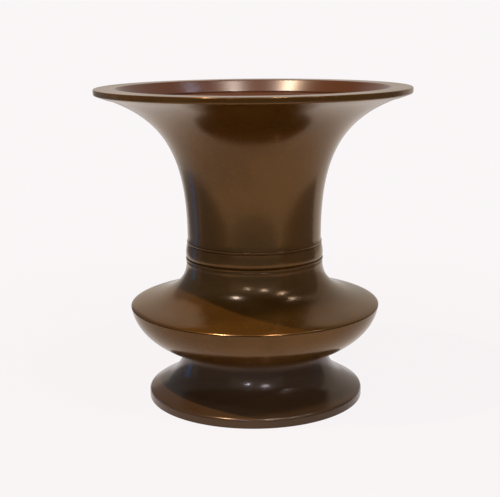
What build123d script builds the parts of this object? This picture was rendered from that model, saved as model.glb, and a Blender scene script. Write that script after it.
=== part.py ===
from build123d import *
import os
from math import cos, radians, sin, tan

# A turned bronze flower vessel of gu form, in sections that lap into each other and are soldered.
# Millimetres, +Z up, origin at the centre of the foot's rest face.
# Every piece is turned: its half section is drawn as (radius, height) and spun about the Z axis.

# Driving dimensions of the whole vessel
height = 240.0
mouth_diameter = 239.0
wall = 3.0
solder_gap = 0.12
solder_countersink = 1.2
wall_stations = 8

# Mouth rim: a heavy lip with a flat top
lip_edge = 4.3
lip_top_width = 17.0
lip_overhang = 7.9
lip_underside_slope = 19.7
lip_rebate = 0.4
lip_toe = 1.2
lip_toe_setback = 1.5
lip_seat_length = 17.0
lip_outer_round = 0.8
lip_lower_round = 1.6
lip_inner_round = 1.5
lip_toe_round = 0.5

# Trumpet neck: one sweep from the waist to the lip
waist_diameter = 103.0
waist_rise = 2.4
waist_sweep = 59.0
mouth_sweep = 49.6
spigot_step = 1.3
spigot_length = 7.0

# Neck band: a barrel-shaped ring, full near its foot, with a fine bead above it
neck_seam_height = 110.2
band_height = 11.2
band_bead_height = 2.2
band_root_diameter = 103.6
band_top_diameter = 104.0
band_swell_diameter = 106.1
band_swell_height = 3.1
band_foot_diameter = 104.2
band_groove = 0.4

# Shoulder: collar with turned lines, then one sweep from a cove to the rounded-over belly edge
collar_diameter = 106.2
collar_bead_height = 1.5
collar_chamfer = 0.4
collar_line_depth = 0.5
collar_line_width = 0.5
cove_top_diameter = 105.6
collar_height = 5.1
cove_lean = 3.3
cove_sweep = 26.4
edge_slope = 54.0
edge_sweep = 6.1
socket_reach = 7.0

# Belly joint: the shoulder laps inside the bowl's rim
belly_diameter = 192.6
belly_height = 73.6
belly_notch = 0.6
belly_rim_wall = 3.4
lap_depth = 5.0
lap_wall = 2.3
lap_reach = 9.0

# Lower bowl and its locating ring for the foot
bowl_bottom = 37.2
bowl_slope = 7.9
bowl_sweep = 9.3
belly_lean = 8.6
belly_sweep = 23.9
floor_reach = 6.0
ledge_reach = 8.0
locating_ring_height = 3.0
locating_ring_wall = 3.0

# Foot: a leaning stem, a cove and a straight flare
stem_diameter = 112.0
stem_lean = 6.7
foot_cove = 27.4
foot_slope = 29.8
foot_diameter = 167.2
foot_edge = 6.4
foot_corner_round = 2.7
foot_edge_round = 0.5
foot_rest_width = 7.5

# Radii that the pieces share
mouth_radius = mouth_diameter / 2
waist_radius = waist_diameter / 2
bore_radius = waist_radius - wall
spigot_radius = band_root_diameter / 2 - spigot_step
socket_radius = spigot_radius + solder_gap
band_top = neck_seam_height + band_height + band_bead_height
waist_height = band_top + waist_rise
belly_radius = belly_diameter / 2
belly_seam = belly_height - belly_notch
rebate_radius = belly_radius - belly_rim_wall
lap_radius = rebate_radius - solder_gap
stem_radius = stem_diameter / 2
stem_bore = stem_radius - wall
locating_radius = stem_bore - solder_gap
foot_radius = foot_diameter / 2


def slanted(distance, angle):
    """The step of a distance upwards and outwards, at an angle in degrees from the horizontal."""
    return Vector(cos(radians(angle)), sin(radians(angle))) * distance


def along(start, end, distance):
    """The point at a distance from start on the way to end."""
    return start + (end - start).normalized() * distance


def inside_of(curve, share, depth):
    """The point at a depth inside a curve that runs upwards, at a share of its length."""
    way = curve.tangent_at(share)
    return curve.position_at(share) + Vector(-way.Y, way.X) * depth


def inner_wall(curve, start, end):
    """Points inside an even wall, from a distance above a curve's foot to a distance below its head."""
    low = start / curve.length
    high = 1 - end / curve.length
    shares = [low + (high - low) * step / wall_stations for step in range(wall_stations + 1)]
    return [inside_of(curve, share, wall) for share in shares]


def turned(outline):
    """The solid that a closed half section makes about the Z axis."""
    return revolve(make_face(Plane.XZ * Curve(outline)), Axis.Z)


def solder_ring(radius, plane):
    """A solder ring in a socket's countersunk mouth: against the spigot, under the plane it butts on."""
    outline = Polyline(
        (radius, plane),
        (radius + solder_gap + solder_countersink, plane),
        (radius + solder_gap, plane - solder_countersink),
        (radius, plane - solder_countersink),
        close=True,
    )
    return turned([outline])


# Trumpet sweep, shared by the trumpet neck and the mouth rim
lip_crease = Vector(
    mouth_radius - lip_overhang,
    height - lip_edge - lip_overhang * tan(radians(lip_underside_slope)),
)
lip_out = slanted(1, lip_underside_slope - 90)
sweep_end = lip_crease - lip_out * lip_rebate
sweep_start = Vector(waist_radius, waist_height)
sweep = Bezier(
    sweep_start,
    sweep_start + Vector(0, waist_sweep),
    sweep_end - slanted(mouth_sweep, lip_underside_slope),
    sweep_end,
)
seat_top = sweep_end - lip_out * wall
trumpet_hollow = inner_wall(sweep, 0, lip_seat_length)
seat_bottom = trumpet_hollow[-1]
seat_pocket = along(seat_top, seat_bottom, solder_countersink)
end_pocket = along(seat_top, sweep_end, solder_countersink)


def make_mouth_rim():
    """Lip ring: flat top, upright edge, and a conical seat that lies in the trumpet's mouth."""
    toe = along(seat_bottom, seat_top, lip_toe_setback)
    corners = {
        lip_crease: 0,
        Vector(mouth_radius, height - lip_edge): lip_lower_round,
        Vector(mouth_radius, height): lip_outer_round,
        Vector(mouth_radius - lip_top_width, height): lip_inner_round,
        toe + Vector(0, lip_toe): lip_toe_round,
        toe: 0,
        seat_top: 0,
    }
    return turned([FilletPolyline(*corners.keys(), radius=corners.values(), close=True)])


def make_rim_solder():
    """Solder in the pocket between the trumpet's chamfered end and the lip's rebate."""
    return turned([Polyline(seat_top, seat_pocket, end_pocket, close=True)])


def make_trumpet_neck():
    """Trumpet and neck: the sweep outside, an even wall inside, and a spigot below."""
    spigot_end = neck_seam_height - spigot_length
    root = TangentArc(sweep_start, (band_root_diameter / 2, band_top), tangent=(0, -1))
    shank = Polyline(
        (band_root_diameter / 2, band_top),
        (spigot_radius, band_top),
        (spigot_radius, spigot_end),
        (bore_radius, spigot_end),
        (bore_radius, waist_height),
    )
    mouth_end = Polyline(sweep_end, end_pocket, seat_pocket, seat_bottom)
    return turned([sweep, mouth_end, Spline(*trumpet_hollow), shank, root])


def make_neck_band():
    """Raised ring on the spigot: a bead, a fine groove and a barrel-shaped face."""
    face_top = neck_seam_height + band_height
    bead_radius = band_bead_height / 2
    groove_floor = band_root_diameter / 2 - band_groove
    foot = Vector(band_foot_diameter / 2, neck_seam_height)
    swell = Vector(band_swell_diameter / 2, neck_seam_height + band_swell_height)
    top = Vector(band_top_diameter / 2, face_top - band_groove)
    outline = [
        Polyline((groove_floor, face_top), (groove_floor, face_top + band_groove)),
        ThreePointArc(
            (groove_floor, face_top + band_groove),
            (band_root_diameter / 2 + band_groove, face_top + bead_radius),
            (groove_floor, band_top),
        ),
        Polyline(
            (groove_floor, band_top),
            (socket_radius, band_top),
            (socket_radius, neck_seam_height),
            foot,
        ),
        TangentArc(swell, foot, tangent=(0, -1)),
        TangentArc(swell, top, tangent=(0, 1)),
        Line(top, (groove_floor, face_top)),
    ]
    return turned(outline)


# Shoulder curve, from the belly edge up to the collar
cove_top = Vector(cove_top_diameter / 2, neck_seam_height - collar_height)
belly_edge = Vector(belly_radius, belly_height)
shoulder_curve = Bezier(
    belly_edge,
    belly_edge + slanted(edge_sweep, 180 - edge_slope),
    cove_top - slanted(cove_sweep, 90 + cove_lean),
    cove_top,
)


def make_shoulder():
    """Upper body: collar and socket for the neck, cove, slope, and a lap ring that enters the bowl."""
    collar_radius = collar_diameter / 2
    bead_bottom = neck_seam_height - collar_bead_height
    line_bottom = bead_bottom - 2 * collar_line_width
    lap_bore = lap_radius - lap_wall
    lap_end = belly_seam - lap_depth
    hollow = inner_wall(shoulder_curve, lap_reach, socket_reach)
    collar = Polyline(
        hollow[-1],
        (socket_radius, hollow[-1].Y),
        (socket_radius, neck_seam_height - solder_countersink),
        (socket_radius + solder_countersink, neck_seam_height),
        (collar_radius - collar_chamfer, neck_seam_height),
        (collar_radius, neck_seam_height - collar_chamfer),
        (collar_radius, bead_bottom),
        (collar_radius - collar_line_depth, bead_bottom - collar_line_width),
        (collar_radius - collar_line_depth / 2, line_bottom),
        cove_top,
    )
    lap = Polyline(
        belly_edge,
        (belly_radius - belly_notch, belly_seam),
        (lap_radius, belly_seam),
        (lap_radius, lap_end),
        (lap_bore, lap_end),
        (lap_bore, hollow[0].Y),
        hollow[0],
    )
    return turned([collar, shoulder_curve, lap, Spline(*hollow)])


# Bowl curve, from the stem up to the belly seam
bowl_start = Vector(stem_radius, bowl_bottom)
bowl_end = Vector(belly_radius, belly_seam)
bowl_curve = Bezier(
    bowl_start,
    bowl_start + slanted(bowl_sweep, bowl_slope),
    bowl_end - slanted(belly_sweep, 90 - belly_lean),
    bowl_end,
)


def make_lower_bowl():
    """Lower body: rounded wall, closed floor, a rebate for the shoulder and a locating ring for the foot."""
    hollow = inner_wall(bowl_curve, floor_reach, ledge_reach)
    ledge = belly_seam - lap_depth - solder_gap
    rim = Polyline(
        hollow[-1],
        (hollow[-1].X, ledge),
        (rebate_radius, ledge),
        (rebate_radius, belly_seam - solder_countersink),
        (rebate_radius + solder_countersink, belly_seam),
        bowl_end,
    )
    ring_bore = locating_radius - locating_ring_wall
    ring_bottom = bowl_bottom - locating_ring_height
    underside = Polyline(
        bowl_start,
        (locating_radius, bowl_bottom),
        (locating_radius, ring_bottom),
        (ring_bore, ring_bottom),
        (ring_bore, bowl_bottom),
        (0, bowl_bottom),
        (0, hollow[0].Y),
        hollow[0],
    )
    return turned([rim, bowl_curve, underside, Spline(*hollow)])


# Slopes of the foot's straight runs
flare_rise = tan(radians(foot_slope))
stem_reach = tan(radians(stem_lean))


def stem_meets_flare(stem_head, edge):
    """The point where the stem's line, leaning out below its head, meets the flare's line from the edge."""
    run = foot_radius - stem_head.X - stem_head.Y * stem_reach
    level = (edge + run * flare_rise) / (1 - stem_reach * flare_rise)
    return Vector(stem_head.X + (stem_head.Y - level) * stem_reach, level)


def make_foot():
    """Hollow foot: leaning stem, cove and flare with an even wall, and a flat rest face under the edge."""
    rest_inner = foot_radius - foot_rest_width
    inner_edge = foot_edge - wall / cos(radians(foot_slope))
    outer_head = Vector(stem_radius, bowl_bottom)
    inner_head = Vector(stem_bore, bowl_bottom - solder_countersink)
    corners = {
        Vector(rest_inner, 0): 0,
        Vector(foot_radius, 0): foot_edge_round,
        Vector(foot_radius, foot_edge): foot_corner_round,
        stem_meets_flare(outer_head, foot_edge): foot_cove,
        outer_head: 0,
        Vector(stem_bore + solder_countersink, bowl_bottom): 0,
        inner_head: 0,
        stem_meets_flare(inner_head, inner_edge): foot_cove + wall,
        Vector(rest_inner, inner_edge + foot_rest_width * flare_rise): 0,
    }
    return turned([FilletPolyline(*corners.keys(), radius=corners.values(), close=True)])


pieces = {
    "mouth_rim": make_mouth_rim(),
    "rim_solder": make_rim_solder(),
    "trumpet_neck": make_trumpet_neck(),
    "neck_band": make_neck_band(),
    "neck_solder": solder_ring(spigot_radius, neck_seam_height),
    "shoulder": make_shoulder(),
    "belly_solder": solder_ring(lap_radius, belly_seam),
    "lower_bowl": make_lower_bowl(),
    "foot_solder": solder_ring(locating_radius, bowl_bottom),
    "foot": make_foot(),
}

os.makedirs("parts", exist_ok=True)
for name, piece in pieces.items():
    export_step(piece, f"parts/{name}.step")
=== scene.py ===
from math import acos, atan2, cos, hypot, pi, radians, sin, tan

import bpy
from bpy.props import FloatProperty, FloatVectorProperty, IntProperty, PointerProperty
from bpy.types import Operator, Panel, PropertyGroup
from mathutils import Matrix, Vector


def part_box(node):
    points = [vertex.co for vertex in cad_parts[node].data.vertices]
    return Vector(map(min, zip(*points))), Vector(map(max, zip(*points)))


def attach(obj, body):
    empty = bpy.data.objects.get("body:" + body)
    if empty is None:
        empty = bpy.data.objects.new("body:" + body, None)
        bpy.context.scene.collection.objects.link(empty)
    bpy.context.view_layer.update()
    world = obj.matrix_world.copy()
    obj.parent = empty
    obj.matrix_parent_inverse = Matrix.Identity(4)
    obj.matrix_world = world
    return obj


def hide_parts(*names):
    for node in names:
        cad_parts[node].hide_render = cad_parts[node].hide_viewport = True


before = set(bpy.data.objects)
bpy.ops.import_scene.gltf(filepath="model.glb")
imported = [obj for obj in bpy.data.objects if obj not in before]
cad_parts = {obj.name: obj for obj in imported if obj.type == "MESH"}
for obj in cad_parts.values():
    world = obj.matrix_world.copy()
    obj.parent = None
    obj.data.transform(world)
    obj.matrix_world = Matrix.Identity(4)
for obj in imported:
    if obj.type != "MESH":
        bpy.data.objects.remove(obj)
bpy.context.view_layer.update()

bl_info = {
    "name": "Bronze gu vessel",
    "version": (1, 0, 0),
    "blender": (4, 5, 0),
    "location": "View3D > Sidebar > Vessel",
    "description": "Turns the smooth, patinated pieces of a bronze flower vessel on its packed frame",
    "category": "Object",
}

MM = 0.001
BODY = "root"
SOLDER_NODES = ("rim_solder", "neck_solder", "belly_solder", "foot_solder")

# Points closer than this are one point
MERGE = 0.002 * MM
# Longest turn between two points of an arc
ARC_FINENESS = radians(9)
# Edges that bend more than this stay sharp
SMOOTH_ANGLE = radians(28)

# Sides of the round floor, and the width of its border as a share of its radius
FLOOR_SIDES = 96
FLOOR_BORDER = 0.1
# Nearest distance that the camera sees, in metres
CLIP_START = 0.01
# The room's light changes between these headings, from -1 behind the camera to 1 behind the vessel
ROOM_FADE = (-0.7, 0.1)

# Noise scales per metre: clouds and specks of the patina, mottle and pits of the inside, skin of the solder
CLOUD_SCALE = 16.0
SPECK_SCALE = 420.0
MOTTLE_SCALE = 40.0
PIT_SCALE = 900.0
SKIN_SCALE = 260.0

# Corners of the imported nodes, from which the pieces take their main sizes
RIM_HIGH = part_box("mouth_rim")[1]
NECK_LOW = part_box("trumpet_neck")[0]
BAND_LOW, BAND_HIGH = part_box("neck_band")
SHOULDER_LOW, SHOULDER_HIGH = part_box("shoulder")
BOWL_LOW, BOWL_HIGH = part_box("lower_bowl")
FOOT_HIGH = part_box("foot")[1]


def length(name, default, description):
    """A length property, in metres."""
    return FloatProperty(name=name, description=description, default=default, min=0.0, unit="LENGTH")


def angle(name, degrees, description):
    """An angle property, given in degrees and kept in radians."""
    return FloatProperty(name=name, description=description, default=radians(degrees), unit="ROTATION")


def share(name, default, description):
    """A property from 0 to 1."""
    return FloatProperty(name=name, description=description, default=default, min=0.0, max=1.0, subtype="FACTOR")


def colour(name, default, description):
    """A colour property, as linear red, green and blue."""
    return FloatVectorProperty(
        name=name, description=description, default=default, min=0.0, max=1.0, size=3, subtype="COLOR"
    )


class VesselSizes(PropertyGroup):
    """Sizes of the turned pieces."""

    wall: length("Wall", 3.0 * MM, "Thickness of the cast wall")
    solder_gap: length("Solder gap", 0.12 * MM, "Clearance between a spigot and its socket")
    solder_countersink: length("Solder countersink", 1.2 * MM, "Depth of the pocket for a solder ring")
    profile_step: length("Profile step", 1.2 * MM, "Longest run between points along a half section")
    turn_steps: IntProperty(name="Turn steps", description="Flats round the axis", default=224, min=32)

    height: length("Height", RIM_HIGH.z, "Height of the vessel")
    mouth_radius: length("Mouth radius", RIM_HIGH.x, "Outside radius of the lip")
    lip_edge: length("Lip edge", 4.3 * MM, "Height of the lip's upright edge")
    lip_top_width: length("Lip top width", 17.0 * MM, "Width of the lip's flat top")
    lip_overhang: length("Lip overhang", 7.9 * MM, "Reach of the lip past the trumpet")
    lip_underside_slope: angle("Lip underside slope", 19.7, "Rise of the lip's underside")
    lip_rebate: length("Lip rebate", 0.4 * MM, "Depth of the crease under the lip")
    lip_toe: length("Lip toe", 1.2 * MM, "Height of the lip's inner toe")
    lip_toe_setback: length("Lip toe setback", 1.5 * MM, "Distance of the toe from the seat's end")
    lip_seat_length: length("Lip seat length", 17.0 * MM, "Length of the lip's seat in the trumpet")
    lip_outer_round: length("Lip outer round", 0.8 * MM, "Round on the lip's upper edge")
    lip_lower_round: length("Lip lower round", 1.6 * MM, "Round on the lip's lower edge")
    lip_inner_round: length("Lip inner round", 1.5 * MM, "Round between the flat top and the inner wall")
    lip_toe_round: length("Lip toe round", 0.5 * MM, "Round on the lip's inner toe")

    waist_radius: length("Waist radius", 51.5 * MM, "Smallest outside radius of the neck")
    waist_rise: length("Waist rise", 2.4 * MM, "Height of the waist above the band")
    waist_sweep: length("Waist sweep", 59.0 * MM, "Pull of the trumpet's curve at the waist")
    mouth_sweep: length("Mouth sweep", 49.6 * MM, "Pull of the trumpet's curve at the lip")
    spigot_step: length("Spigot step", 1.3 * MM, "Step from the neck down to its spigot")
    spigot_end: length("Spigot end", NECK_LOW.z, "Height of the spigot's lower end")

    neck_seam: length("Neck seam", BAND_LOW.z, "Height of the seam under the band")
    band_top: length("Band top", BAND_HIGH.z, "Height of the band's upper end")
    band_bead_height: length("Band bead height", 2.2 * MM, "Height of the bead above the band")
    band_root_radius: length("Band root radius", 51.8 * MM, "Radius of the neck where the band begins")
    band_top_radius: length("Band top radius", 52.0 * MM, "Radius of the band's face at its top")
    band_swell_radius: length("Band swell radius", BAND_HIGH.x, "Largest radius of the band's face")
    band_swell_height: length("Band swell height", 3.1 * MM, "Height of the swell above the seam")
    band_foot_radius: length("Band foot radius", 52.1 * MM, "Radius of the band's face at its foot")
    band_groove: length("Band groove", 0.4 * MM, "Depth of the band's fine groove")

    collar_radius: length("Collar radius", 53.1 * MM, "Radius of the bead under the seam")
    collar_bead_height: length("Collar bead height", 1.5 * MM, "Height of the bead under the seam")
    collar_chamfer: length("Collar chamfer", 0.4 * MM, "Chamfer at the seam")
    collar_line_depth: length("Collar line depth", 0.5 * MM, "Depth of the turned line under the bead")
    collar_line_width: length("Collar line width", 0.5 * MM, "Width of the turned line under the bead")
    collar_height: length("Collar height", 5.1 * MM, "Height of the collar above the cove")
    cove_top_radius: length("Cove top radius", 52.8 * MM, "Radius where the cove begins")
    cove_lean: angle("Cove lean", 3.3, "Lean of the cove at its top")
    cove_sweep: length("Cove sweep", 26.4 * MM, "Pull of the shoulder's curve at the collar")
    edge_slope: angle("Edge slope", 54.0, "Fall of the shoulder where it rounds over the belly edge")
    edge_sweep: length("Edge sweep", 6.1 * MM, "Pull of the shoulder's curve at the belly edge")
    socket_reach: length("Socket reach", 7.0 * MM, "Length of the socket's thick wall under the collar")

    belly_radius: length("Belly radius", SHOULDER_HIGH.x, "Radius of the belly edge")
    belly_seam: length("Belly seam", BOWL_HIGH.z, "Height of the seam at the belly edge")
    belly_notch: length("Belly notch", 0.6 * MM, "Bevel above the belly seam")
    belly_rim_wall: length("Belly rim wall", 3.4 * MM, "Wall of the bowl round the shoulder's lap")
    lap_end: length("Lap end", SHOULDER_LOW.z, "Height of the lower end of the shoulder's lap")
    lap_wall: length("Lap wall", 2.3 * MM, "Thickness of the shoulder's lap ring")
    lap_reach: length("Lap reach", 9.0 * MM, "Length of the thick wall at the lap")

    bowl_bottom: length("Bowl bottom", FOOT_HIGH.z, "Height at which the bowl sits on the foot")
    bowl_slope: angle("Bowl slope", 7.9, "Rise of the bowl where it leaves the stem")
    bowl_sweep: length("Bowl sweep", 9.3 * MM, "Pull of the bowl's curve at the stem")
    belly_lean: angle("Belly lean", 8.6, "Lean of the bowl at the belly seam")
    belly_sweep: length("Belly sweep", 23.9 * MM, "Pull of the bowl's curve at the belly seam")
    floor_reach: length("Floor reach", 6.0 * MM, "Length of the thick wall at the vessel's floor")
    ledge_reach: length("Ledge reach", 8.0 * MM, "Length of the thick wall at the bowl's rim")
    ring_bottom: length("Ring bottom", BOWL_LOW.z, "Height of the locating ring's lower end")
    ring_wall: length("Ring wall", 3.0 * MM, "Thickness of the locating ring")

    stem_radius: length("Stem radius", 56.0 * MM, "Radius of the foot's stem at its head")
    stem_lean: angle("Stem lean", 6.7, "Lean of the stem")
    foot_cove: length("Foot cove", 27.4 * MM, "Radius of the cove between stem and flare")
    foot_slope: angle("Foot slope", 29.8, "Fall of the flare")
    foot_radius: length("Foot radius", FOOT_HIGH.x, "Outside radius of the foot")
    foot_edge: length("Foot edge", 6.4 * MM, "Height of the foot's thick edge")
    foot_corner_round: length("Foot corner round", 2.7 * MM, "Round on top of the foot's edge")
    foot_edge_round: length("Foot edge round", 0.5 * MM, "Round under the foot's edge")
    foot_rest_width: length("Foot rest width", 7.5 * MM, "Width of the ring on which the foot rests")


class VesselFinish(PropertyGroup):
    """Colours and polish of the bronze."""

    patina: colour("Patina", (0.132, 0.056, 0.009), "Brown of the polished patina")
    patina_light: colour("Worn patina", (0.165, 0.078, 0.018), "Lighter brown where the patina is thin")
    patina_dark: colour("Deep patina", (0.103, 0.042, 0.006), "Darker brown where the patina is thick")
    inside: colour("Inside bronze", (0.06, 0.033, 0.016), "Dull bronze of the unpolished inside")
    mouth: colour("Mouth bronze", (0.092, 0.03, 0.009), "Redder bronze where the mouth is worn by use")
    haze: colour("Haze", (0.036, 0.028, 0.022), "Greyer tone of the haze on the foot")
    solder: colour("Solder", (0.3, 0.3, 0.29), "Grey of the soft solder")
    metal: share("Metal", 0.5, "Share of bare bronze that shows through the patina")
    inside_metal: share("Inside metal", 0.05, "Share of bare bronze that shows on the inside")
    sheen: colour("Sheen", (1.0, 0.93, 0.8), "Tint of what the polish mirrors")
    haze_sheen: colour("Haze sheen", (0.8, 0.62, 0.58), "Tint of what the haze mirrors")
    mouth_sheen: colour("Mouth sheen", (0.66, 0.74, 0.82), "Tint of what the worn mouth mirrors")
    polish: share("Polish", 0.19, "Roughness of the polished patina")
    inside_roughness: share("Inside roughness", 0.55, "Roughness of the unpolished inside")
    line_depth: length("Turning line depth", 0.02 * MM, "Depth of the fine turning lines")
    line_pitch: length("Turning line pitch", 1.0 * MM, "Distance between the fine turning lines")
    worn_from: length("Worn from", 170.0 * MM, "Height at which the inside begins to be worn smooth")
    worn_to: length("Worn to", 215.0 * MM, "Height from which the inside is worn smooth")


class VesselStudio(PropertyGroup):
    """Camera, floor and lamps."""

    camera_distance: length("Camera distance", 800.1 * MM, "Distance of the camera in front of the axis")
    camera_height: length("Camera height", 286.0 * MM, "Height of the camera above the floor")
    camera_pitch: angle("Camera pitch", 12.03, "Angle at which the camera looks down")
    camera_roll: angle("Camera roll", -0.487, "Turn of the camera about its own view")
    lens: FloatProperty(name="Lens", description="Focal length", default=75.83, unit="CAMERA")
    shift: FloatProperty(name="Shift", description="Sideways shift of the view", default=-0.00876)
    floor_colour: colour("Floor colour", (0.956, 0.922, 0.93), "Pale colour of floor and backdrop")
    cloth: colour("Cloth", (0.58, 0.56, 0.56), "Tone in which the floor sends lamp light back")
    floor_radius: length("Floor radius", 6.0, "Radius of the round floor")
    backdrop_height: length("Backdrop height", 2.2, "Height of the wall round the floor")
    shadow: share("Shadow", 0.05, "Share of the floor near the vessel that shows light and shadow")
    shadow_from: length("Shadow from", 0.25, "Distance at which the shadow begins to fade")
    shadow_to: length("Shadow to", 0.6, "Distance at which the shadow has faded")
    room_front: FloatProperty(name="Room front", description="Light from the room behind the camera", default=0.22)
    room_top: FloatProperty(name="Room top", description="Light from the room above", default=0.16)


def sizes():
    """The vessel's sizes in this scene."""
    return bpy.context.scene.vessel_sizes


# Half sections are lists of points (radius, height). A stretch is a run of such points from one end to the other.


def slanted(distance, turn):
    """The step of a distance at an angle above the outward radius."""
    return Vector((cos(turn), sin(turn))) * distance


def toward(start, end, distance):
    """The point at a distance from start on the way to end."""
    return start + (end - start).normalized() * distance


def straight(start, end):
    """Points along a straight run."""
    start, end = Vector(start), Vector(end)
    count = max(1, round((end - start).length / sizes().profile_step))
    return [start.lerp(end, step / count) for step in range(count + 1)]


def broken(*corners):
    """Points along straight runs from corner to corner."""
    points = []
    for start, end in zip(corners, corners[1:]):
        points += straight(start, end)
    return points


def arc(centre, start, end):
    """Points along the shorter arc about a centre."""
    spoke = start - centre
    first = atan2(spoke.y, spoke.x)
    sweep = atan2(end.y - centre.y, end.x - centre.x) - first
    sweep -= 2 * pi * round(sweep / (2 * pi))
    count = max(2, round(spoke.length * abs(sweep) / sizes().profile_step), round(abs(sweep) / ARC_FINENESS))
    return [centre + slanted(spoke.length, first + sweep * step / count) for step in range(count + 1)]


def upright_arc(start, end):
    """Points along the arc that leaves its start upright and reaches its end."""
    across = end - start
    return arc(start + Vector((across.length_squared / (2 * across.x), 0)), start, end)


def bezier(start, start_pull, end_pull, end):
    """Points along a cubic curve between two ends, and the normals on its left side."""
    rough = (start_pull - start).length + (end_pull - start_pull).length + (end - end_pull).length
    count = round(rough / sizes().profile_step)
    points, normals = [], []
    for step in range(count + 1):
        t = step / count
        u = 1 - t
        points.append(start * u**3 + start_pull * 3 * u * u * t + end_pull * 3 * u * t * t + end * t**3)
        way = (start_pull - start) * u * u + (end_pull - start_pull) * 2 * u * t + (end - end_pull) * t * t
        normals.append(Vector((-way.y, way.x)).normalized())
    return points, normals


def inner_wall(curve, start, end):
    """Points inside an even wall, from a distance above a curve's foot to a distance below its head."""
    points, normals = curve
    hollow = [point + normal * sizes().wall for point, normal in zip(points, normals)]
    gone = [0.0]
    for here, there in zip(points, points[1:]):
        gone.append(gone[-1] + (there - here).length)
    stop = gone[-1] - end

    def place(distance):
        step = next(index for index in range(1, len(gone)) if gone[index] >= distance)
        part = (distance - gone[step - 1]) / (gone[step] - gone[step - 1])
        return hollow[step - 1].lerp(hollow[step], part)

    return [place(start), *(point for point, run in zip(hollow, gone) if start < run < stop), place(stop)]


def rounded(corners):
    """Points round a closed run of straight lines whose corners, given as (point, radius), are rounded."""
    groups = []
    for index, (corner, radius) in enumerate(corners):
        if radius == 0:
            groups.append([corner])
            continue
        before = (corners[index - 1][0] - corner).normalized()
        after = (corners[(index + 1) % len(corners)][0] - corner).normalized()
        half = acos(before.dot(after)) / 2
        centre = corner + (before + after).normalized() * (radius / sin(half))
        reach = radius / tan(half)
        groups.append(arc(centre, corner + before * reach, corner + after * reach))
    outline = []
    for group, following in zip(groups, groups[1:] + groups[:1]):
        outline += group + straight(group[-1], following[0])
    return outline


def trumpet_section():
    """The places that the trumpet and the lip share: its curve, crease, seat and hollow."""
    s = sizes()
    slope = s.lip_underside_slope
    crease = Vector((s.mouth_radius - s.lip_overhang, s.height - s.lip_edge - s.lip_overhang * tan(slope)))
    out = slanted(1, slope - pi / 2)
    end = crease - out * s.lip_rebate
    waist = Vector((s.waist_radius, s.band_top + s.waist_rise))
    curve = bezier(waist, waist + Vector((0, s.waist_sweep)), end - slanted(s.mouth_sweep, slope), end)
    return curve, crease, end - out * s.wall, inner_wall(curve, 0, s.lip_seat_length)


def mouth_rim_outline():
    """Lip ring: flat top, upright edge, steep inner wall and a conical seat."""
    s = sizes()
    _, crease, seat_top, hollow = trumpet_section()
    toe = toward(hollow[-1], seat_top, s.lip_toe_setback)
    return rounded(
        [
            (crease, 0),
            (Vector((s.mouth_radius, s.height - s.lip_edge)), s.lip_lower_round),
            (Vector((s.mouth_radius, s.height)), s.lip_outer_round),
            (Vector((s.mouth_radius - s.lip_top_width, s.height)), s.lip_inner_round),
            (toe + Vector((0, s.lip_toe)), s.lip_toe_round),
            (toe, 0),
            (seat_top, 0),
        ]
    )


def trumpet_neck_outline():
    """Trumpet and neck: the sweep outside, an even wall inside, and a spigot below."""
    s = sizes()
    (points, _), _, seat_top, hollow = trumpet_section()
    spigot = s.band_root_radius - s.spigot_step
    bore = s.waist_radius - s.wall
    root = Vector((s.band_root_radius, s.band_top))
    end_pocket = toward(seat_top, points[-1], s.solder_countersink)
    seat_pocket = toward(seat_top, hollow[-1], s.solder_countersink)
    shank = broken(hollow[0], (bore, s.spigot_end), (spigot, s.spigot_end), (spigot, s.band_top), root)
    return (
        points
        + broken(points[-1], end_pocket, seat_pocket, hollow[-1])
        + hollow[::-1]
        + shank
        + upright_arc(points[0], root)[::-1]
    )


def neck_band_outline():
    """Raised ring on the spigot: a bead, a fine groove and a barrel-shaped face."""
    s = sizes()
    socket = s.band_root_radius - s.spigot_step + s.solder_gap
    groove_floor = s.band_root_radius - s.band_groove
    face_top = s.band_top - s.band_bead_height
    foot = Vector((s.band_foot_radius, s.neck_seam))
    swell = Vector((s.band_swell_radius, s.neck_seam + s.band_swell_height))
    top = Vector((s.band_top_radius, face_top - s.band_groove))
    bead_low = Vector((groove_floor, face_top + s.band_groove))
    bead_high = Vector((groove_floor, s.band_top))
    bead_side = Vector((s.band_root_radius + s.band_groove, (bead_low.y + bead_high.y) / 2))
    return (
        broken((groove_floor, face_top), bead_low)
        + upright_arc(bead_side, bead_low)[::-1]
        + upright_arc(bead_side, bead_high)
        + broken(bead_high, (socket, s.band_top), (socket, s.neck_seam), foot)
        + upright_arc(swell, foot)[::-1]
        + upright_arc(swell, top)
        + broken(top, (groove_floor, face_top))
    )


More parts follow.
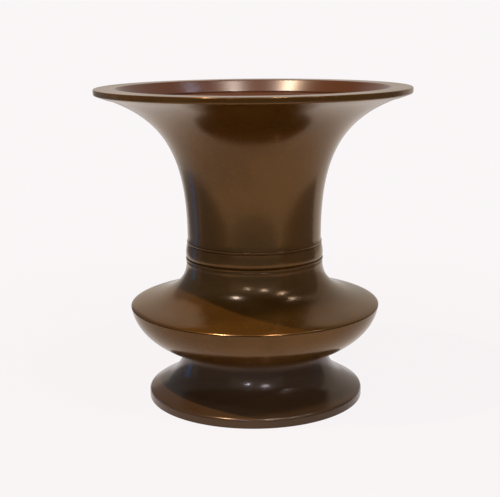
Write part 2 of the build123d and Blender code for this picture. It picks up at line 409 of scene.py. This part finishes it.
def shoulder_outline():
    """Upper body: collar and socket for the neck, cove, slope, and a lap ring that enters the bowl."""
    s = sizes()
    belly_edge = Vector((s.belly_radius, s.belly_seam + s.belly_notch))
    cove_top = Vector((s.cove_top_radius, s.neck_seam - s.collar_height))
    edge_pull = belly_edge + slanted(s.edge_sweep, pi - s.edge_slope)
    cove_pull = cove_top - slanted(s.cove_sweep, pi / 2 + s.cove_lean)
    curve = bezier(belly_edge, edge_pull, cove_pull, cove_top)
    hollow = inner_wall(curve, s.lap_reach, s.socket_reach)
    socket = s.band_root_radius - s.spigot_step + s.solder_gap
    lap_radius = s.belly_radius - s.belly_rim_wall - s.solder_gap
    lap_bore = lap_radius - s.lap_wall
    bead_bottom = s.neck_seam - s.collar_bead_height
    line_bottom = bead_bottom - 2 * s.collar_line_width
    collar = broken(
        hollow[-1],
        (socket, hollow[-1].y),
        (socket, s.neck_seam - s.solder_countersink),
        (socket + s.solder_countersink, s.neck_seam),
        (s.collar_radius - s.collar_chamfer, s.neck_seam),
        (s.collar_radius, s.neck_seam - s.collar_chamfer),
        (s.collar_radius, bead_bottom),
        (s.collar_radius - s.collar_line_depth, bead_bottom - s.collar_line_width),
        (s.collar_radius - s.collar_line_depth / 2, line_bottom),
        cove_top,
    )
    lap = broken(
        belly_edge,
        (s.belly_radius - s.belly_notch, s.belly_seam),
        (lap_radius, s.belly_seam),
        (lap_radius, s.lap_end),
        (lap_bore, s.lap_end),
        (lap_bore, hollow[0].y),
        hollow[0],
    )
    return collar + curve[0][::-1] + lap + hollow


def lower_bowl_outline():
    """Lower body: rounded wall, closed floor, a rebate for the shoulder and a locating ring for the foot."""
    s = sizes()
    start = Vector((s.stem_radius, s.bowl_bottom))
    end = Vector((s.belly_radius, s.belly_seam))
    start_pull = start + slanted(s.bowl_sweep, s.bowl_slope)
    end_pull = end - slanted(s.belly_sweep, pi / 2 - s.belly_lean)
    curve = bezier(start, start_pull, end_pull, end)
    hollow = inner_wall(curve, s.floor_reach, s.ledge_reach)
    rebate = s.belly_radius - s.belly_rim_wall
    ledge = s.lap_end - s.solder_gap
    locating = s.stem_radius - s.wall - s.solder_gap
    ring_bore = locating - s.ring_wall
    rim = broken(
        hollow[-1],
        (hollow[-1].x, ledge),
        (rebate, ledge),
        (rebate, s.belly_seam - s.solder_countersink),
        (rebate + s.solder_countersink, s.belly_seam),
        end,
    )
    underside = broken(
        start,
        (locating, s.bowl_bottom),
        (locating, s.ring_bottom),
        (ring_bore, s.ring_bottom),
        (ring_bore, s.bowl_bottom),
        (0, s.bowl_bottom),
    )
    return broken((0, hollow[0].y), hollow[0]) + hollow + rim + curve[0][::-1] + underside


def foot_outline():
    """Hollow foot: leaning stem, cove and flare with an even wall, and a flat rest face under the edge."""
    s = sizes()
    rise = tan(s.foot_slope)
    reach = tan(s.stem_lean)
    bore = s.stem_radius - s.wall
    rest_inner = s.foot_radius - s.foot_rest_width
    inner_edge = s.foot_edge - s.wall / cos(s.foot_slope)
    outer_head = Vector((s.stem_radius, s.bowl_bottom))
    inner_head = Vector((bore, s.bowl_bottom - s.solder_countersink))

    def meeting(head, edge):
        level = (edge + (s.foot_radius - head.x - head.y * reach) * rise) / (1 - reach * rise)
        return Vector((head.x + (head.y - level) * reach, level))

    return rounded(
        [
            (Vector((rest_inner, 0)), 0),
            (Vector((s.foot_radius, 0)), s.foot_edge_round),
            (Vector((s.foot_radius, s.foot_edge)), s.foot_corner_round),
            (meeting(outer_head, s.foot_edge), s.foot_cove),
            (outer_head, 0),
            (Vector((bore + s.solder_countersink, s.bowl_bottom)), 0),
            (inner_head, 0),
            (meeting(inner_head, inner_edge), s.foot_cove + s.wall),
            (Vector((rest_inner, inner_edge + s.foot_rest_width * rise)), 0),
        ]
    )


def turn(name, outline):
    """Extrudes a point along a half section, closed unless it starts on the axis, and spins it."""
    s = sizes()
    points = [outline[0]]
    for point in outline[1:]:
        if (point - points[-1]).length > 10 * MERGE:
            points.append(point)
    if points[0].x > MERGE:
        points.append(points[0])
    bpy.ops.object.select_all(action="DESELECT")
    bpy.ops.mesh.primitive_plane_add(size=s.wall)
    piece = bpy.context.object
    piece.name = piece.data.name = name
    bpy.ops.object.mode_set(mode="EDIT")
    bpy.ops.mesh.merge(type="CENTER")
    bpy.ops.transform.translate(value=(points[0].x, 0, points[0].y))
    for start, end in zip(points, points[1:]):
        move = end - start
        bpy.ops.mesh.extrude_region_move(TRANSFORM_OT_translate={"value": (move.x, 0, move.y)})
    bpy.ops.mesh.select_all(action="SELECT")
    bpy.ops.mesh.remove_doubles(threshold=MERGE)
    bpy.ops.mesh.spin(steps=s.turn_steps, angle=2 * pi, center=(0, 0, 0), axis=(0, 0, 1))
    bpy.ops.mesh.select_all(action="SELECT")
    bpy.ops.mesh.remove_doubles(threshold=MERGE)
    bpy.ops.mesh.normals_make_consistent(inside=False)
    bpy.ops.object.mode_set(mode="OBJECT")
    bpy.ops.object.shade_smooth_by_angle(angle=SMOOTH_ANGLE)
    return piece


def seat(piece, *nodes):
    """Sets a piece on the vessel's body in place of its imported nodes."""
    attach(piece, BODY)
    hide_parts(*nodes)


class Nodes:
    """A short way to add and join the nodes of one material or world."""

    def __init__(self, tree):
        self.tree = tree
        tree.nodes.clear()

    def add(self, kind, values=None, **settings):
        node = self.tree.nodes.new("ShaderNode" + kind)
        for key, value in settings.items():
            setattr(node, key, value)
        for key, value in (values or {}).items():
            if isinstance(value, bpy.types.NodeSocket):
                self.tree.links.new(value, node.inputs[key])
            else:
                node.inputs[key].default_value = value
        return node

    def maths(self, operation, first, second=0.0):
        return self.add("Math", {0: first, 1: second}, operation=operation).outputs[0]

    def noise(self, vector, scale, detail, roughness=0.5):
        values = {"Vector": vector, "Scale": scale, "Detail": detail, "Roughness": roughness}
        return self.add("TexNoise", values).outputs["Fac"]

    def spread(self, value, low, high, to_low=0.0, to_high=1.0):
        values = {"Value": value, 1: low, 2: high, 3: to_low, 4: to_high}
        return self.add("MapRange", values, interpolation_type="SMOOTHSTEP").outputs[0]

    def mix(self, factor, first, second):
        node = self.add("Mix", data_type="RGBA")
        for socket, value in ((node.inputs[0], factor), (node.inputs[6], first), (node.inputs[7], second)):
            if isinstance(value, bpy.types.NodeSocket):
                self.tree.links.new(value, socket)
            else:
                socket.default_value = value
        return node.outputs[2]


def rgba(value):
    """A colour property with full opacity."""
    return (*value, 1.0)


def turned_place(nodes):
    """Object coordinates, and the same place as (radius, 0, height), which is alike all round the axis."""
    place = nodes.add("TexCoord").outputs["Object"]
    parts = nodes.add("SeparateXYZ", {0: place}).outputs
    flat = nodes.add("CombineXYZ", {0: parts[0], 1: parts[1]}).outputs[0]
    reach = nodes.add("VectorMath", {0: flat}, operation="LENGTH").outputs["Value"]
    ring = nodes.add("CombineXYZ", {0: reach, 2: parts[2]}).outputs[0]
    return place, ring, parts[2]


def polished_bronze(name, seed, haze=0.0):
    """Dark brown patina, polished: cloudy colour, fine turning lines, an uneven gloss and a share of grey haze."""
    finish = bpy.context.scene.vessel_finish
    material = bpy.data.materials.new(name)
    material.use_nodes = True
    nodes = Nodes(material.node_tree)
    place, ring, _ = turned_place(nodes)
    moved = nodes.add("VectorMath", {0: place, 1: (seed, 2 * seed, 3 * seed)}, operation="ADD").outputs[0]
    clouds = nodes.noise(moved, CLOUD_SCALE, detail=4.0, roughness=0.55)
    specks = nodes.noise(moved, SPECK_SCALE, detail=3.0, roughness=0.6)
    lines = nodes.noise(ring, 1.0 / finish.line_pitch, detail=3.0, roughness=0.6)
    base = nodes.mix(nodes.spread(clouds, 0.35, 0.65), rgba(finish.patina_dark), rgba(finish.patina))
    base = nodes.mix(nodes.spread(specks, 0.52, 0.72, to_high=0.35), base, rgba(finish.patina_light))
    base = nodes.mix(nodes.spread(lines, 0.45, 0.7, to_high=0.2), base, rgba(finish.patina_dark))
    if haze:
        base = nodes.mix(nodes.spread(clouds, 0.3, 0.7, to_low=0.8 * haze, to_high=haze), base, rgba(finish.haze))
    gloss = nodes.spread(clouds, 0.3, 0.7, to_low=1.12 * finish.polish, to_high=0.9 * finish.polish)
    gloss = nodes.maths("ADD", gloss, nodes.spread(lines, 0.35, 0.65, to_low=-0.02, to_high=0.02))
    grain = nodes.maths("ADD", lines, nodes.maths("MULTIPLY", specks, 0.15))
    bump = nodes.add("Bump", {"Strength": 0.35, "Distance": finish.line_depth, "Height": grain})
    sheen = [clear + (hazy - clear) * haze for clear, hazy in zip(finish.sheen, finish.haze_sheen)]
    shader = nodes.add(
        "BsdfPrincipled",
        {
            "Base Color": base,
            "Metallic": finish.metal * (1 - haze),
            "Roughness": gloss,
            "Specular Tint": rgba(sheen),
            "Normal": bump.outputs[0],
        },
    )
    nodes.add("OutputMaterial", {"Surface": shader.outputs[0]})
    return material


def dull_bronze(name):
    """Unpolished cast bronze of the inside: mottled, matt and lightly pitted, and worn smooth at the mouth."""
    finish = bpy.context.scene.vessel_finish
    material = bpy.data.materials.new(name)
    material.use_nodes = True
    nodes = Nodes(material.node_tree)
    place, _, height = turned_place(nodes)
    clouds = nodes.noise(place, MOTTLE_SCALE, detail=5.0, roughness=0.6)
    pits = nodes.noise(place, PIT_SCALE, detail=2.0, roughness=0.5)
    worn = nodes.spread(height, finish.worn_from, finish.worn_to)
    mottled = nodes.mix(nodes.spread(clouds, 0.35, 0.7), rgba(finish.inside), rgba(finish.patina_dark))
    base = nodes.mix(worn, mottled, rgba(finish.mouth))
    tint = nodes.mix(worn, rgba(finish.sheen), rgba(finish.mouth_sheen))
    matt = finish.inside_roughness
    rough = nodes.spread(clouds, 0.3, 0.7, to_low=matt, to_high=0.85 * matt)
    rough = nodes.maths("MULTIPLY", rough, nodes.maths("SUBTRACT", 1.0, worn))
    rough = nodes.maths("ADD", rough, nodes.maths("MULTIPLY", worn, 1.45 * finish.polish))
    bump = nodes.add("Bump", {"Strength": 0.3, "Distance": 2 * finish.line_depth, "Height": pits})
    shader = nodes.add(
        "BsdfPrincipled",
        {
            "Base Color": base,
            "Metallic": finish.inside_metal,
            "Roughness": rough,
            "Specular Tint": tint,
            "Normal": bump.outputs[0],
        },
    )
    nodes.add("OutputMaterial", {"Surface": shader.outputs[0]})
    return material


def soft_solder(name):
    """Dull grey solder with a slightly uneven skin."""
    finish = bpy.context.scene.vessel_finish
    material = bpy.data.materials.new(name)
    material.use_nodes = True
    nodes = Nodes(material.node_tree)
    place, _, _ = turned_place(nodes)
    skin = nodes.noise(place, SKIN_SCALE, detail=4.0, roughness=0.6)
    dark = [value * 0.7 for value in finish.solder]
    base = nodes.mix(nodes.spread(skin, 0.3, 0.7), rgba(finish.solder), rgba(dark))
    bump = nodes.add("Bump", {"Strength": 0.4, "Distance": 4 * finish.line_depth, "Height": skin})
    shader = nodes.add(
        "BsdfPrincipled",
        {"Base Color": base, "Metallic": 1.0, "Roughness": 0.5, "Normal": bump.outputs[0]},
    )
    nodes.add("OutputMaterial", {"Surface": shader.outputs[0]})
    return material


def coat(piece, outside, inside, floor=False):
    """Gives the outside of a piece one finish, and another to faces that look at the axis or make a level floor."""
    slack = 0.001
    piece.data.materials.append(outside)
    piece.data.materials.append(inside)
    for face in piece.data.polygons:
        radius = hypot(face.center.x, face.center.y)
        outward = (face.normal.x * face.center.x + face.normal.y * face.center.y) / radius
        level = abs(face.normal.z) > 1 - slack
        hollow = floor if level else outward < -slack
        face.material_index = 1 if hollow else 0


class VESSEL_OT_mouth_rim(Operator):
    """Turn the heavy lip ring"""

    bl_idname = "vessel.mouth_rim"
    bl_label = "Mouth rim"

    def execute(self, context):
        piece = turn("mouth_rim_piece", mouth_rim_outline())
        coat(piece, polished_bronze("rim bronze", 0.0), dull_bronze("mouth bronze"))
        seat(piece, "mouth_rim")
        return {"FINISHED"}


class VESSEL_OT_trumpet_neck(Operator):
    """Turn the trumpet mouth and neck"""

    bl_idname = "vessel.trumpet_neck"
    bl_label = "Trumpet neck"

    def execute(self, context):
        piece = turn("trumpet_neck_piece", trumpet_neck_outline())
        coat(piece, polished_bronze("neck bronze", 0.31), dull_bronze("throat bronze"))
        seat(piece, "trumpet_neck")
        return {"FINISHED"}


class VESSEL_OT_neck_band(Operator):
    """Turn the raised band round the foot of the neck"""

    bl_idname = "vessel.neck_band"
    bl_label = "Neck band"

    def execute(self, context):
        piece = turn("neck_band_piece", neck_band_outline())
        piece.data.materials.append(polished_bronze("band bronze", 0.47))
        seat(piece, "neck_band")
        return {"FINISHED"}


class VESSEL_OT_shoulder(Operator):
    """Turn the upper half of the body"""

    bl_idname = "vessel.shoulder"
    bl_label = "Shoulder"

    def execute(self, context):
        piece = turn("shoulder_piece", shoulder_outline())
        coat(piece, polished_bronze("shoulder bronze", 0.62), dull_bronze("shoulder inside bronze"))
        seat(piece, "shoulder")
        return {"FINISHED"}


class VESSEL_OT_lower_bowl(Operator):
    """Turn the lower half of the body with the vessel's floor"""

    bl_idname = "vessel.lower_bowl"
    bl_label = "Lower bowl"

    def execute(self, context):
        piece = turn("lower_bowl_piece", lower_bowl_outline())
        coat(piece, polished_bronze("bowl bronze", 0.78), dull_bronze("bowl inside bronze"), floor=True)
        seat(piece, "lower_bowl")
        return {"FINISHED"}


class VESSEL_OT_foot(Operator):
    """Turn the flared, hollow foot"""

    bl_idname = "vessel.foot"
    bl_label = "Foot"

    def execute(self, context):
        piece = turn("foot_piece", foot_outline())
        coat(piece, polished_bronze("foot bronze", 0.93, haze=0.6), dull_bronze("foot inside bronze"))
        seat(piece, "foot")
        return {"FINISHED"}


class VESSEL_OT_solder(Operator):
    """Give the four solder rings their finish"""

    bl_idname = "vessel.solder"
    bl_label = "Solder rings"

    def execute(self, context):
        material = soft_solder("soft solder")
        for name in SOLDER_NODES:
            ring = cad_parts[name]
            ring.data.materials.clear()
            ring.data.materials.append(material)
        return {"FINISHED"}


def pale_studio(name):
    """Pale floor and backdrop: shown and mirrored at an even level, with the vessel's faint shadow near it."""
    studio = bpy.context.scene.vessel_studio
    material = bpy.data.materials.new(name)
    material.use_nodes = True
    nodes = Nodes(material.node_tree)
    ray = nodes.add("LightPath").outputs
    seen = nodes.maths("MAXIMUM", ray["Is Camera Ray"], ray["Is Glossy Ray"])
    seen = nodes.maths("MAXIMUM", seen, ray["Is Transmission Ray"])
    place = nodes.add("TexCoord").outputs["Object"]
    reach = nodes.add("VectorMath", {0: place}, operation="LENGTH").outputs["Value"]
    lit = nodes.spread(reach, studio.shadow_from, studio.shadow_to, to_low=studio.shadow, to_high=0.0)
    even = nodes.maths("MULTIPLY", seen, nodes.maths("SUBTRACT", 1.0, lit))
    glow = nodes.add("Emission", {"Color": rgba(studio.floor_colour), "Strength": 1.0})
    cloth = nodes.add("BsdfDiffuse", {"Color": rgba(studio.cloth)})
    both = nodes.add("MixShader", {0: even, 1: cloth.outputs[0], 2: glow.outputs[0]})
    nodes.add("OutputMaterial", {"Surface": both.outputs[0]})
    material.cycles.emission_sampling = "NONE"
    return material


def add_floor():
    """A round pale floor whose edge is drawn up into a backdrop."""
    studio = bpy.context.scene.vessel_studio
    bpy.ops.object.select_all(action="DESELECT")
    bpy.ops.mesh.primitive_circle_add(vertices=FLOOR_SIDES, radius=studio.floor_radius, fill_type="NGON")
    floor = bpy.context.object
    floor.name = floor.data.name = "floor"
    bpy.ops.object.mode_set(mode="EDIT")
    bpy.ops.mesh.select_all(action="SELECT")
    bpy.ops.mesh.inset(thickness=studio.floor_radius * FLOOR_BORDER)
    bpy.ops.mesh.select_all(action="DESELECT")
    bpy.ops.mesh.select_mode(type="EDGE")
    bpy.ops.mesh.select_non_manifold()
    bpy.ops.mesh.extrude_region_move(TRANSFORM_OT_translate={"value": (0, 0, studio.backdrop_height)})
    bpy.ops.object.mode_set(mode="OBJECT")
    floor.data.materials.append(pale_studio("pale studio"))


def add_card(name, place, size, turn, level, tint, fade=None):
    """An upright studio card that only the vessel's gloss shows, with its lower edge on the floor.

    A fade gives the heights between which its level falls or rises, and the level above them.
    """
    bpy.ops.object.select_all(action="DESELECT")
    bpy.ops.mesh.primitive_plane_add(size=1.0)
    card = bpy.context.object
    card.name = card.data.name = name
    card.scale = (size[0], size[1], 1.0)
    card.rotation_euler = (pi / 2, 0, radians(turn))
    card.location = (place[0], place[1], size[1] / 2)
    bpy.ops.object.transform_apply(location=True, rotation=True, scale=True)
    material = bpy.data.materials.new(name)
    material.use_nodes = True
    nodes = Nodes(material.node_tree)
    strength = level
    if fade:
        height = nodes.add("SeparateXYZ", {0: nodes.add("TexCoord").outputs["Object"]}).outputs[2]
        low, high, faint = fade
        strength = nodes.spread(height, low, high, to_low=level, to_high=faint)
    glow = nodes.add("Emission", {"Color": rgba(tint), "Strength": strength})
    nodes.add("OutputMaterial", {"Surface": glow.outputs[0]})
    material.cycles.emission_sampling = "NONE"
    card.data.materials.append(material)
    card.visible_camera = card.visible_diffuse = card.visible_shadow = False


def add_lamp(name, side, elevation, size, power, tint, distance=1.5):
    """A round area lamp aimed at the vessel, given by its degrees to the right of the camera and above the level."""
    target = Vector((0, 0, sizes().height / 2))
    flat = distance * cos(radians(elevation))
    place = Vector((flat * sin(radians(side)), -flat * cos(radians(side)), distance * sin(radians(elevation))))
    bpy.ops.object.light_add(type="AREA", location=target + place)
    lamp = bpy.context.object
    lamp.name = lamp.data.name = name
    lamp.rotation_euler = (-place).to_track_quat("-Z", "Y").to_euler()
    lamp.data.shape = "DISK"
    lamp.data.size = size
    lamp.data.energy = power
    lamp.data.color = tint
    lamp.visible_camera = False


def light_room():
    """A plain room that sends one level of light from behind the camera and another from the other sides."""
    scene = bpy.context.scene
    studio = scene.vessel_studio
    scene.world = bpy.data.worlds.new("room")
    scene.world.use_nodes = True
    nodes = Nodes(scene.world.node_tree)
    ahead = nodes.add("SeparateXYZ", {0: nodes.add("TexCoord").outputs["Generated"]}).outputs[1]
    level = nodes.spread(ahead, *ROOM_FADE, to_low=studio.room_front, to_high=studio.room_top)
    light = nodes.add("Background", {"Strength": level})
    nodes.add("OutputWorld", {"Surface": light.outputs[0]})


def add_camera():
    """The camera at the photo's angle."""
    scene = bpy.context.scene
    studio = scene.vessel_studio
    place = Vector((0, -studio.camera_distance, studio.camera_height))
    aim = Matrix.Rotation(pi / 2 - studio.camera_pitch, 3, "X") @ Matrix.Rotation(studio.camera_roll, 3, "Z")
    bpy.ops.object.camera_add(location=place, rotation=aim.to_euler())
    scene.camera = bpy.context.object
    scene.camera.data.lens = studio.lens
    scene.camera.data.shift_x = studio.shift
    scene.camera.data.clip_start = CLIP_START


class VESSEL_OT_studio(Operator):
    """Set the floor, the cards, the lamps, the room's light and the camera"""

    bl_idname = "vessel.studio"
    bl_label = "Studio"

    def execute(self, context):
        add_floor()
        add_card("front card", place=(0, -0.47), size=(0.8, 0.18), turn=0, level=0.4, tint=(0.585, 0.77, 1.0))
        add_card(
            "room card",
            place=(0, -1.5),
            size=(3.2, 2.0),
            turn=0,
            level=0.04,
            tint=(0.78, 0.88, 1.0),
            fade=(0.3, 0.45, 0.52),
        )
        add_card("left card", place=(-0.4, -0.23), size=(0.56, 0.5), turn=90, level=0.26, tint=(0.78, 0.9, 1.0))
        add_card("left back card", place=(-0.4, 0.36), size=(0.6, 0.5), turn=90, level=0.28, tint=(0.84, 0.9, 1.0))
        add_card("window card", place=(-0.39, 0.165), size=(0.09, 0.15), turn=90, level=1.05, tint=(0.18, 0.45, 1.0))
        add_card("right card", place=(0.43, -0.14), size=(0.68, 0.5), turn=90, level=0.24, tint=(0.9, 0.92, 1.0))
        add_card(
            "back card",
            place=(0.275, 1.0),
            size=(2.25, 1.9),
            turn=0,
            level=0.65,
            tint=(1.0, 0.94, 0.88),
            fade=(1.4, 1.8, 0.04),
        )
        add_card(
            "right back card",
            place=(0.9, 0.62),
            size=(0.76, 1.7),
            turn=90,
            level=0.6,
            tint=(1.0, 0.94, 0.88),
            fade=(1.15, 1.6, 0.05),
        )
        add_lamp("key lamp", side=-60, elevation=66.6, size=0.04, power=50.0, tint=(1.0, 0.74, 0.46), distance=2.6)
        add_lamp("left lamp", side=-44, elevation=62, size=0.08, power=4.4, tint=(0.418, 0.584, 1.0))
        add_lamp("front lamp 1", side=-12, elevation=31, size=0.08, power=1.6, tint=(0.5, 0.666, 1.0))
        add_lamp("front lamp 2", side=16, elevation=37, size=0.1, power=2.3, tint=(0.56, 0.7, 1.0))
        add_lamp("right lamp 1", side=52, elevation=47, size=0.1, power=2.4, tint=(0.66, 0.76, 1.0))
        add_lamp("right lamp 2", side=90, elevation=58, size=0.08, power=1.35, tint=(0.66, 0.8, 1.0))
        add_lamp("high lamp", side=33, elevation=69, size=0.12, power=8.5, tint=(1.0, 0.86, 0.7))
        light_room()
        add_camera()
        context.scene.view_settings.view_transform = "Standard"
        return {"FINISHED"}


STEPS = (
    VESSEL_OT_mouth_rim,
    VESSEL_OT_trumpet_neck,
    VESSEL_OT_neck_band,
    VESSEL_OT_shoulder,
    VESSEL_OT_lower_bowl,
    VESSEL_OT_foot,
    VESSEL_OT_solder,
    VESSEL_OT_studio,
)


class VESSEL_PT_panel(Panel):
    """The vessel's pieces and stage"""

    bl_idname = "VESSEL_PT_panel"
    bl_label = "Bronze gu vessel"
    bl_space_type = "VIEW_3D"
    bl_region_type = "UI"
    bl_category = "Vessel"

    def draw(self, context):
        for step in STEPS:
            self.layout.operator(step.bl_idname)


GROUPS = {"vessel_sizes": VesselSizes, "vessel_finish": VesselFinish, "vessel_studio": VesselStudio}


def register():
    """Registers the classes and hangs the settings on the scene."""
    for cls in (*GROUPS.values(), *STEPS, VESSEL_PT_panel):
        bpy.utils.register_class(cls)
    for name, group in GROUPS.items():
        setattr(bpy.types.Scene, name, PointerProperty(type=group))


def unregister():
    """Takes the settings off the scene and the classes out again."""
    for name in GROUPS:
        delattr(bpy.types.Scene, name)
    for cls in reversed((*GROUPS.values(), *STEPS, VESSEL_PT_panel)):
        bpy.utils.unregister_class(cls)


def main():
    """Builds the pieces and the stage."""
    register()
    bpy.ops.vessel.mouth_rim()
    bpy.ops.vessel.trumpet_neck()
    bpy.ops.vessel.neck_band()
    bpy.ops.vessel.shoulder()
    bpy.ops.vessel.lower_bowl()
    bpy.ops.vessel.foot()
    bpy.ops.vessel.solder()
    bpy.ops.vessel.studio()


if __name__ == "__main__":
    main()
